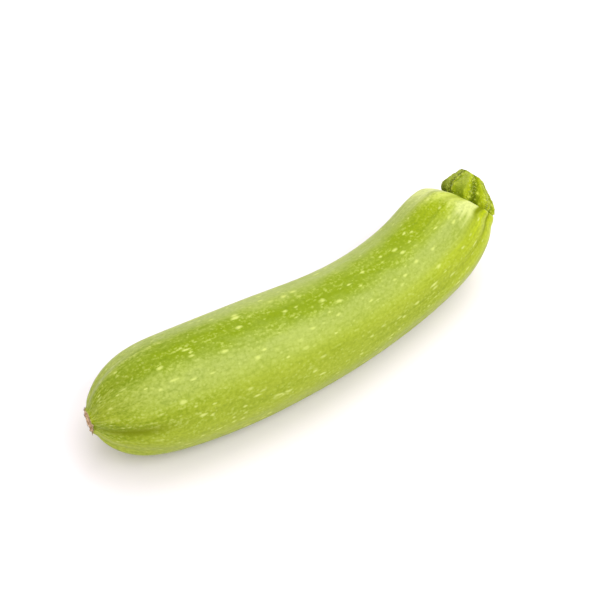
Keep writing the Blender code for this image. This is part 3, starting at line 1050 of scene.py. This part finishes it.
def paint_stem(mesh, points, warts, share):
    """Straight coordinates, ridges, height, warts, smooth backs of the ridges, and the way in on the cut.

    The ridge value also carries painted light on one side and painted shade on the upper far side near the
    cut.
    """
    angle = full_turn(STEM_AROUND)
    main, fine = rib_wave(angle - PALE_RIDGE_SHIFT, RIBS), rib_wave(angle - FINE_RIDGE_SHIFT, 2 * RIBS)
    height = (points[..., 2] - FRUIT_LENGTH) / STEM_HEIGHT
    # Painted shade: the upper far side darker towards the cut. Painted light: one side paler all the way up.
    shaded_flank = smooth_step(np.cos(angle - SHADED_SIDE), *SHADED_SIDE_EDGE) * smooth_step(height, *SHADED_HEIGHTS)
    pale = np.cos(angle - LIT_SIDE)
    ridge = MAIN_SHARE * main + FINE_SHARE * fine + LIT_SHARE * pale - SHADED_SHARE * shaded_flank
    no_side, no_cut = np.zeros(warts.shape), np.zeros(share.shape)
    write_attributes(mesh, {
        "straight": (points, foot_tip, pith_tip),
        "ridge": (ridge, 0.0, 0.0),
        "height": (height, 0.0, 1.0),
        "wart": (np.concatenate([warts, no_cut]), 0.0, 0.0),
        "back": (ridge_back(angle) * smooth_step(height, *BACK_HEIGHTS), 0.0, 0.0),
        "cut": (np.concatenate([no_side, no_cut + 1.0]), 0.0, 1.0),
        "inwards": (np.concatenate([no_side, 1.0 - share]), 0.0, 1.0),
    })


paint_stem(stem_mesh, stem_points, stem_warts, cut_share)
print("share of the side under warts:", round(float((stem_warts > 0.5).mean()), 2))

# %% [markdown]
# ## The finish of the stem
#
# The stem's green is darker and duller than the skin's. Its warts and the smooth backs of its ridges are
# rubbed pale, and its grooves are deep green with painted shade. One side is painted paler as light, the
# upper far side is painted darker towards the cut as shade, and the foot is painted darkest just above the
# seat, as shade where it meets the fruit. The cut has dried: a thin brown rim, pale flesh, a ring of darker
# vessels and a spongy straw-coloured pith.
# The rings already know where a ridge, a wart or the cut is, so each is kept as an attribute and the
# material only has to mix colours by it.

# %% The stem's colours, its patterns, and how much of each it gets
STEM_GREEN = (0.160, 0.218, 0.0, 1.0)
STEM_DARK = (0.080, 0.110, 0.0, 1.0)
STEM_RIDGE_COLOUR = (0.32, 0.39, 0.006, 1.0)
STEM_BACK_COLOUR = (0.31, 0.37, 0.045, 1.0)
WART_COLOUR = (0.48, 0.55, 0.06, 1.0)
FLESH_COLOUR = (0.60, 0.62, 0.30, 1.0)
VESSEL_COLOUR = (0.30, 0.33, 0.08, 1.0)
PITH_COLOUR = (0.62, 0.60, 0.33, 1.0)
DRY_COLOUR = (0.26, 0.20, 0.07, 1.0)

STEM_CLOUDS = {"Size": 2.2 * MM, "Stretch": 1.5, "Detail": 4.0}
STEM_GRAIN = {"Size": 0.5 * MM, "Stretch": 1.5, "Detail": 4.0}
STEM_STREAKS = {"Size": 0.5 * MM, "Stretch": 8.0, "Detail": 2.0}
CLOUD_STREAK_ON_RIDGES = (0.22, 0.45)
GROOVE_EDGE = (-1.0, 0.1)
RIDGE_EDGE = (0.1, 1.2)
BACK_PALENESS = 0.7
BACK_CLOUDS = 0.4
WART_PALENESS = 1.25
WART_GRAIN = 0.5
# Painted shade at the foot, just above the seat.
FOOT_SHADE = (0.0, 0.20, 0.35, 0.0)
FOOT_GROOVES = (0.5, -0.6)
CUT_GRAIN = 0.04
DRY_RIM_EDGE = (0.0, 0.14)
VESSELS_FROM = (0.2, 0.3)
VESSELS_UNTIL = (0.42, 0.32)
VESSEL_STRENGTH = 0.7
PITH_EDGE = (0.58, 0.78)
DRIED_FLESH = (0.1, 0.9, 0.0, 0.5)
STEM_ROUGHNESS = (0.55, 0.8)
STEM_BUMP = {"depth": 0.08 * MM, "strength": 0.7}
STEM_GLOSS = {"Specular IOR Level": 0.1}
print("roughness of the stem, low and high:", STEM_ROUGHNESS)

# %% Stem material


def cut_colour(tree, inwards, fine):
    """The cut from its rim inwards: dry brown, pale flesh, vessels and pith, all of it dried in spots."""
    inwards = add_up(tree, inwards, (fine, CUT_GRAIN))
    vessels = times(tree, remap(tree, inwards, *VESSELS_FROM), remap(tree, inwards, *VESSELS_UNTIL))
    return layered(
        tree,
        DRY_COLOUR,
        (remap(tree, inwards, *DRY_RIM_EDGE), FLESH_COLOUR),
        (times(tree, vessels, VESSEL_STRENGTH), VESSEL_COLOUR),
        (remap(tree, inwards, *PITH_EDGE), PITH_COLOUR),
        (remap(tree, fine, *DRIED_FLESH), DRY_COLOUR),
    )


def stem_material():
    """Green from groove to ridge, pale backs, warts over them, a dark foot, and the cut's own colours.

    The grooves, the upper far side and the foot are darkened as painted shade, and one side is lightened as
    painted light.
    """
    made, tree, surface = new_material("rough green stem")
    (where,) = read(tree, "straight", output="Vector")
    cloud, fine, streak = use(tree, MOTTLE, where, STEM_CLOUDS, STEM_GRAIN, STEM_STREAKS)
    ridge, back, wart = read(tree, "ridge", "back", "wart")
    height, cut, inwards = read(tree, "height", "cut", "inwards")
    # The ridge value also carries the painted light and shade of the two sides, so the ridge colours follow
    # them.
    ridge = add_up(tree, ridge, *zip((cloud, streak), CLOUD_STREAK_ON_RIDGES))
    colour = layered(
        tree,
        STEM_DARK,
        # Grooves in dark green: painted shade.
        (remap(tree, ridge, *GROOVE_EDGE), STEM_GREEN),
        (remap(tree, ridge, *RIDGE_EDGE), STEM_RIDGE_COLOUR),
        (times(tree, back, add_up(tree, BACK_PALENESS, (cloud, BACK_CLOUDS))), STEM_BACK_COLOUR),
        (times(tree, wart, add_up(tree, WART_PALENESS, (fine, WART_GRAIN))), WART_COLOUR),
        # Painted shade at the foot, just above the seat, strongest in the grooves.
        (times(tree, remap(tree, height, *FOOT_SHADE), remap(tree, ridge, *FOOT_GROOVES)), STEM_DARK),
        (cut, cut_colour(tree, inwards, fine)),
    )
    finish = {"Base Color": colour, "Roughness": between(tree, fine, *STEM_ROUGHNESS)}
    fill(tree, surface, {**finish, "Normal": bumped(tree, fine, **STEM_BUMP), **STEM_GLOSS})
    return made


add_piece(stem_mesh, stem_material(), "stem")

# %% [markdown]
# ## Bristles on the stem
#
# A zucchini's stem pricks the hand: it is set with short stiff pale hairs. Hair curves would be lost in the
# export, so each bristle is a thin spike of four sides, only six triangles. They are drawn at random over
# the rings of the stem, thicker on the ridges, and lean a little towards the cut.

# %% Scatter the bristles
BRISTLES = 700
BRISTLE_LENGTHS = (0.35 * MM, 0.95 * MM)
BRISTLE_RADIUS = 0.065 * MM
BRISTLE_SIDES = 4
BRISTLE_ROOT = 0.1 * MM
BRISTLE_LEAN = 0.5
BRISTLE_SPREAD = 0.45
BRISTLE_TRIES = 4
BRISTLE_FAVOUR = (-1.2, 1.0)
BARE_RINGS_AT_FOOT = 6
BARE_RINGS_AT_CUT = 8
NORMAL_REACH = 3


def unit(vectors):
    """Each vector divided by its own length."""
    return vectors / np.linalg.norm(vectors, axis=-1, keepdims=True)


def bristle_mesh(side_rings):
    """Spikes: a root ring of four points square to the spike's own direction, and a tip.

    A spike starts at a random ring point, one of more tries than needed, kept where a random number is below
    the ridge's wave. It points along the surface's normal plus a share of the stem's axis and a random tilt.
    The normal is the cross product of the steps to a near point round the stem and to one along it.
    """
    rng = np.random.default_rng(21)
    row = rng.integers(BARE_RINGS_AT_FOOT, side_rings.shape[0] - BARE_RINGS_AT_CUT, BRISTLES)
    column = rng.integers(0, STEM_AROUND, BRISTLE_TRIES * BRISTLES)
    ridge = rib_wave(full_turn(STEM_AROUND)[0, column], 2 * RIBS)
    column = column[rng.uniform(*BRISTLE_FAVOUR, column.size) < ridge][:BRISTLES]
    base = side_rings[row, column]
    round_step = side_rings[row, (column + NORMAL_REACH) % STEM_AROUND] - base
    along_step = side_rings[row + NORMAL_REACH, column] - base
    normal, along = unit(np.cross(round_step, along_step)), unit(along_step)
    tilt = rng.uniform(-1.0, 1.0, (BRISTLES, 3))
    point = unit(normal + BRISTLE_LEAN * along + BRISTLE_SPREAD * tilt)
    across = unit(np.cross(point, along))
    turn = full_turn(BRISTLE_SIDES)[..., None]
    ring = np.cos(turn) * across[:, None] + np.sin(turn) * np.cross(point, across)[:, None]
    length = rng.uniform(*BRISTLE_LENGTHS, BRISTLES)[:, None]
    roots = (base - BRISTLE_ROOT * point)[:, None] + BRISTLE_RADIUS * ring
    tips = (base + length * point)[:, None]
    points = np.concatenate([roots, tips], axis=1)
    start = (np.arange(BRISTLES) * (BRISTLE_SIDES + 1))[:, None, None]
    side = np.array([(i, (i + 1) % BRISTLE_SIDES, BRISTLE_SIDES) for i in range(BRISTLE_SIDES)])
    under = np.array([(0, 3, 2), (0, 2, 1)])
    return new_mesh("stem_bristles", points, start + np.concatenate([side, under]), smooth=False)


bristles_mesh = bristle_mesh(place(stem_points[:STEM_SIDE_RINGS]))
print("bristles:", BRISTLES)

# %% Bristle material
BRISTLE_COLOUR = (0.52, 0.57, 0.19, 1.0)
BRISTLE_MOTTLE = {"Size": 1.5 * MM, "Stretch": 1.0, "Detail": 2.0}
BRISTLE_TONES = (-0.5, 1.0)
BRISTLE_ROUGHNESS = (0.35, 0.5)


def mottled_material(name, pattern, tones, first, second, roughness):
    """One colour turning into another with the mottle, and a roughness that goes with it."""
    made, tree, surface = new_material(name)
    where = node(tree, "ShaderNodeTexCoord").outputs["Object"]
    (cloud,) = use(tree, MOTTLE, where, pattern)
    colour = layered(tree, first, (remap(tree, cloud, *tones), second))
    fill(tree, surface, {"Base Color": colour, "Roughness": between(tree, cloud, *roughness)})
    return made


bristle_material = mottled_material(
    "pale stem bristle", BRISTLE_MOTTLE, BRISTLE_TONES, BRISTLE_COLOUR, WART_COLOUR, BRISTLE_ROUGHNESS
)
add_piece(bristles_mesh, bristle_material, None)

# %% [markdown]
# ## The blossom scar
#
# Where the flower fell off, the tip is closed by cork: a cracked tan ring round a sunk dish, with a few dry
# brown scraps of the flower still on its edge. The cork is a closed lens of its own laid over the solid's
# ring and dish. Its rim is uneven and dips under the skin, so that no edge is seen.

# %% Sizes of the cork
CORK_AROUND = 200
CORK_RINGS = 60
CORK_RADIUS = 4.85 * MM
CORK_EDGE_WAVE = 0.07
CORK_EDGE_WAVE_SIZE = 0.45
CORK_RIM_FROM = 0.82
CORK_RISE = 0.12 * MM
CORK_DIP = 0.35 * MM
CORK_THICKNESS = 1.2 * MM
CORK_UNDER_SHRINK = 0.93
CORK_UNDER_STEP = 4
CORK_LUMPS = ((0.22 * MM, 0.9 * MM, 33), (0.088 * MM, 0.35 * MM, 34))
CORK_CRACKS = 23
CORK_CRACK_DEPTH = 0.22 * MM
CORK_CRACK_THINNESS = 6
CORK_CRACK_WANDER = 0.25
CORK_CRACK_WANDER_SIZE = 1.6 * MM
CORK_CRACK_EDGE = (0.6 * SCAR_DISH_RADIUS, SCAR_RING_RADIUS)
print("cork, mm across and cracks:", 2.0 * CORK_RADIUS / MM, CORK_CRACKS)

# %% Build the cork


def cork_rings():
    """Rings from the middle of the cork out to its rim, then back below the skin.

    Top: the scar's own depth, raised a little, with lumps added and thin radial cracks cut where a wandering
    cosine of the angle is near 1. Underside: the same rings nearer the axis, a thickness deeper.
    """
    share = np.linspace(0.0, 1.0, CORK_RINGS + 1)[1:][:, None]
    share, angle = np.broadcast_arrays(share, full_turn(CORK_AROUND))
    edge = 1.0 + CORK_EDGE_WAVE * lumps(around_axis(1.0, angle, 0.0), CORK_EDGE_WAVE_SIZE, seed=31)
    radius = share * CORK_RADIUS * edge
    flat = around_axis(radius, angle, 0.0)
    wander = CORK_CRACK_WANDER * lumps(flat, CORK_CRACK_WANDER_SIZE, seed=32)
    crack = np.clip(np.cos(CORK_CRACKS * (angle + wander)), 0.0, 1.0) ** CORK_CRACK_THINNESS
    crack = crack * smooth_step(radius, *CORK_CRACK_EDGE)
    lump = layered_lumps(flat, CORK_LUMPS) - CORK_CRACK_DEPTH * crack
    at_rim = smooth_step(share, CORK_RIM_FROM, 1.0)
    rise = CORK_RISE + lump * (1.0 - at_rim) - (CORK_RISE + CORK_DIP) * at_rim
    distance = tip_distance(radius) + scar_depth(radius) - rise
    top = around_axis(radius, angle, distance)
    under = top[::-CORK_UNDER_STEP] * (CORK_UNDER_SHRINK, CORK_UNDER_SHRINK, 1.0)
    under = under + (0.0, 0.0, CORK_THICKNESS)
    return top, under, crack


cork_top, cork_under, cork_crack = cork_rings()
cork_straight = np.concatenate([cork_top, cork_under])
cork_tip = np.array((0.0, 0.0, scar_depth(0.0) - CORK_RISE))
cork_back = np.array((0.0, 0.0, scar_depth(0.0) - CORK_RISE + CORK_THICKNESS))
cork_mesh = ring_mesh("blossom_cork", place(cork_straight), place(cork_tip), place(cork_back))
cork_cracks = np.concatenate([cork_crack, np.zeros(cork_under.shape[:2])])
cork_radius = np.hypot(cork_straight[..., 0], cork_straight[..., 1]) / CORK_RADIUS
write_attributes(cork_mesh, {
    "straight": (cork_straight, cork_tip, cork_back),
    "crack": (cork_cracks, 0.0, 0.0),
    "outwards": (cork_radius, 0.0, 0.0),
})
print("cork rings:", cork_straight.shape[0], "of", CORK_AROUND)

# %% Cork material
CORK_PALE = (0.74, 0.52, 0.31, 1.0)
CORK_BROWN = (0.33, 0.18, 0.08, 1.0)
RIM_GREEN = (0.52, 0.50, 0.22, 1.0)
PIT_BROWN = (0.12, 0.06, 0.03, 1.0)

CORK_CLOUDS = {"Size": 1.6 * MM, "Stretch": 1.0, "Detail": 4.0}
CORK_GRAIN = {"Size": 0.4 * MM, "Stretch": 1.0, "Detail": 4.0}
GRAIN_IN_TONE = 0.5
TONE_EDGE = (-0.7, 0.5)
DISH_SHADE = (0.30, 0.70, 0.7, 0.0)
PIT_GRAIN = 0.05
PIT_SHADE = (0.06, 0.16, 0.8, 0.0)
CRACK_STRENGTH = 0.8
RIM_CLOUDS = 0.08
GREEN_FROM = (0.86, 0.98)
CORK_ROUGHNESS = (0.7, 0.9)
CORK_BUMP = {"depth": 0.1 * MM, "strength": 0.8}


def cork_material():
    """Tan with brown lumps, dark cracks, a darker dish, and a rim that turns to the green of the skin."""
    made, tree, surface = new_material("dry tan cork")
    (where,) = read(tree, "straight", output="Vector")
    cloud, fine = use(tree, MOTTLE, where, CORK_CLOUDS, CORK_GRAIN)
    crack, outwards = read(tree, "crack", "outwards")
    colour = layered(
        tree,
        CORK_BROWN,
        (remap(tree, add_up(tree, cloud, (fine, GRAIN_IN_TONE)), *TONE_EDGE), CORK_PALE),
        (remap(tree, outwards, *DISH_SHADE), CORK_BROWN),
        (remap(tree, add_up(tree, outwards, (fine, PIT_GRAIN)), *PIT_SHADE), PIT_BROWN),
        (times(tree, crack, CRACK_STRENGTH), PIT_BROWN),
        (remap(tree, add_up(tree, outwards, (cloud, RIM_CLOUDS)), *GREEN_FROM), RIM_GREEN),
    )
    finish = {"Base Color": colour, "Roughness": between(tree, fine, *CORK_ROUGHNESS)}
    fill(tree, surface, {**finish, "Normal": bumped(tree, fine, **CORK_BUMP)})
    return made


add_piece(cork_mesh, cork_material(), None)

# %% Dry scraps of the flower on the ring
SCRAPS = 11
SCRAP_STEPS = 9
SCRAP_SIDES = 8
SCRAP_LENGTHS = (0.7 * MM, 1.6 * MM)
SCRAP_WIDTHS = (0.6 * MM, 1.5 * MM)
SCRAP_THICKNESS = 0.09 * MM
SCRAP_SCATTER = 0.8
SCRAP_CURLS = (-0.48, 1.6)
SCRAP_LEANS = (0.8, 1.3)
SCRAP_TWIST = 0.28
SCRAP_INSET = 0.6 * MM
SCRAP_LIFT = 0.06 * MM
SCRAP_SWELL = (0.18, 0.96)
SCRAP_TORN = 0.3


def scrap_rings():
    """Curled strips: a flat oval carried along an arc that starts in the ring and curls out or sideways.

    Along the arc the strip turns by its curl. Its width is the root of a sine, torn by a random share, so it
    swells and then narrows to the tip. Each strip starts at its own angle on the ring.
    """
    rng = np.random.default_rng(41)
    column = (SCRAPS, 1)
    scatter = rng.uniform(-SCRAP_SCATTER, SCRAP_SCATTER, column)
    start_angle = full_turn(SCRAPS).T + scatter * 2.0 * pi / SCRAPS
    length = rng.uniform(*SCRAP_LENGTHS, column)
    width = rng.uniform(*SCRAP_WIDTHS, column)
    curl = rng.uniform(*SCRAP_CURLS, column)
    start_lean = rng.uniform(*SCRAP_LEANS, column)
    twist = rng.uniform(-SCRAP_TWIST, SCRAP_TWIST, column)
    share = np.linspace(0.0, 1.0, SCRAP_STEPS)
    lean = start_lean + curl * share
    step = length / (SCRAP_STEPS - 1)
    ring_radius = SCAR_RING_RADIUS + rng.uniform(-SCRAP_INSET, 0.0, column)
    base = tip_distance(ring_radius) + scar_depth(ring_radius) + SCRAP_LIFT
    radius = ring_radius + np.cumsum(np.sin(lean) * step, axis=1)
    distance = base - np.cumsum(np.cos(lean) * step, axis=1)
    around = start_angle + twist * share
    centre = around_axis(radius, around, distance)
    tangent = around_axis(1.0, around + pi / 2.0, 0.0)
    thin = around_axis(np.cos(lean), around, np.sin(lean))
    swell = np.sqrt(np.sin(pi * np.linspace(*SCRAP_SWELL, SCRAP_STEPS)))[:, None, None]
    torn = 1.0 + SCRAP_TORN * rng.uniform(-1.0, 1.0, (SCRAPS, SCRAP_STEPS, 1, 1))
    turn = full_turn(SCRAP_SIDES)[..., None]
    wide = tangent[:, :, None] * np.cos(turn) * width[..., None, None] / 2.0
    flat = thin[:, :, None] * np.sin(turn) * SCRAP_THICKNESS
    rings = centre[:, :, None] + (wide * torn + flat) * swell
    return rings, centre


# %% One mesh of all the scraps


def joined_scraps(rings, centre):
    """One mesh of all the strips: the same faces for each, counted on from where its own points start."""
    count, rows, around, _ = rings.shape
    quads, fans = ring_faces(rows, around)
    points = np.concatenate([place(rings).reshape(count, -1, 3), place(centre[:, [0, -1]])], axis=1)
    start = (np.arange(count) * points.shape[1])[:, None, None]
    return new_mesh("flower_scraps", points, start + quads, start + fans)


scraps_mesh = joined_scraps(*scrap_rings())
print("scraps:", SCRAPS, "strips, longest", SCRAP_LENGTHS[1] / MM, "mm")

# %% Scrap material: papery brown to tan, matt
SCRAP_TAN = (0.48, 0.34, 0.18, 1.0)
SCRAP_BROWN = (0.09, 0.05, 0.02, 1.0)
SCRAP_MOTTLE = {"Size": 1.2 * MM, "Stretch": 1.0, "Detail": 4.0}
SCRAP_TONES = (-0.8, 0.8)
SCRAP_ROUGHNESS = (0.65, 0.85)

scrap_material = mottled_material(
    "dry flower scrap", SCRAP_MOTTLE, SCRAP_TONES, SCRAP_BROWN, SCRAP_TAN, SCRAP_ROUGHNESS
)
add_piece(scraps_mesh, scrap_material, None)

# %% [markdown]
# ## The studio
#
# A plain white floor under soft light. The world is brighter overhead than at the floor's level, so that
# the belly of the fruit is in soft shade, and the camera sees it as plain white. A long softbox in front
# draws a broad pale band along the fruit, because the wax mirrors it. A second one behind the stem only
# lights: mirrored, it would put a glaring patch on the shoulder. A sun or a point of light could do none of
# this, because its edges are hard. The camera looks down at 50 degrees from the outside of the bend, with a
# long lens that keeps the near end from swelling.

# %% Floor and world
FLOOR_SIZE = 6.0
FLOOR_DROP = 0.05 * MM
FLOOR_FINISH = {"Base Color": (0.905, 0.858, 0.905, 1.0), "Roughness": 0.9, "Specular IOR Level": 0.2}
WORLD_COLOUR = (1.0, 0.97, 0.95, 1.0)
WORLD_LOW = 0.38
WORLD_HIGH = 0.96
WORLD_FULL_FROM = 0.6
WORLD_SEEN = 1.1


def add_floor():
    """A square of FLOOR_SIZE just under the fruit."""
    half = FLOOR_SIZE / 2.0
    corners = np.array([(-half, -half), (half, -half), (half, half), (-half, half)])
    corners = np.insert(corners, 2, -FLOOR_DROP, axis=1)
    mesh = new_mesh("floor", corners, np.arange(4)[None, :], smooth=False)
    made, tree, surface = new_material("plain white floor")
    fill(tree, surface, FLOOR_FINISH)
    mesh.materials.append(made)
    floor = add_object(mesh)


def light_world():
    """Light from all round: WORLD_LOW at the floor's level, WORLD_HIGH overhead, white to the camera."""
    world = bpy.data.worlds.new("soft white room")
    world.use_nodes = True
    tree = world.node_tree
    look = node(tree, "ShaderNodeTexCoord").outputs["Generated"]
    up = node(tree, "ShaderNodeSeparateXYZ", {0: look}).outputs["Z"]
    room = remap(tree, up, 0.0, WORLD_FULL_FROM, WORLD_LOW, WORLD_HIGH)
    seen = times(tree, node(tree, "ShaderNodeLightPath").outputs["Is Camera Ray"], WORLD_SEEN)
    strength = math(tree, "MAXIMUM", room, seen)
    fill(tree, tree.nodes["Background"], {"Color": WORLD_COLOUR, "Strength": strength})
    bpy.context.scene.world = world


add_floor()
light_world()
print("world light, low and high:", WORLD_LOW, WORLD_HIGH)

# %% Camera
TARGET = np.array([4.378, 9.432, 24.0]) * MM
CAMERA_AZIMUTH = radians(-36.328)
CAMERA_ELEVATION = radians(50.0)
CAMERA_DISTANCE = 1.2
LENS = 183.0
SENSOR = 36.0


def direction(azimuth, elevation):
    """Unit vector from the part towards a place: azimuth 0 is -Y, and positive swings towards +X."""
    level = np.cos(elevation)
    return np.array([np.sin(azimuth) * level, -np.cos(azimuth) * level, np.sin(elevation)])


def aim(item, place_at, at):
    """Puts a camera or light somewhere and points its -Z at a point, with its X level."""
    item.location = place_at
    item.rotation_euler = Vector(np.asarray(at) - place_at).to_track_quat("-Z", "Y").to_euler()


def add_camera():
    """The camera, on a line from the target at its azimuth and elevation."""
    data = bpy.data.cameras.new("camera")
    data.lens = LENS
    data.sensor_width = SENSOR
    camera = add_object(data)
    aim(camera, TARGET + CAMERA_DISTANCE * direction(CAMERA_AZIMUTH, CAMERA_ELEVATION), TARGET)
    bpy.context.scene.camera = camera


add_camera()
print("camera at, m:", [round(value, 3) for value in bpy.context.scene.camera.location])

# %% Softboxes
LONG_SOFTBOX = {"azimuth": 2.0, "elevation": 52.0, "distance": 0.9, "size": (1.3, 0.35), "watts": 4.7}
BACK_SOFTBOX = {"azimuth": 112.0, "elevation": 60.0, "distance": 1.1, "size": (1.0, 1.0), "watts": 5.6}


def add_softbox(name, azimuth, elevation, distance, size, watts, mirrored):
    """A rectangle of light that faces the fruit, and that the wax mirrors only if it should."""
    data = bpy.data.lights.new(name, "AREA")
    data.shape = "RECTANGLE"
    data.size, data.size_y = size
    data.energy = watts
    lamp = add_object(data)
    lamp.visible_glossy = mirrored
    aim(lamp, TARGET + distance * direction(radians(azimuth), radians(elevation)), TARGET)


add_softbox("long softbox", mirrored=True, **LONG_SOFTBOX)
add_softbox("back softbox", mirrored=False, **BACK_SOFTBOX)
bpy.context.scene.view_settings.view_transform = "Standard"
print("lights:", [light.name for light in bpy.data.lights])
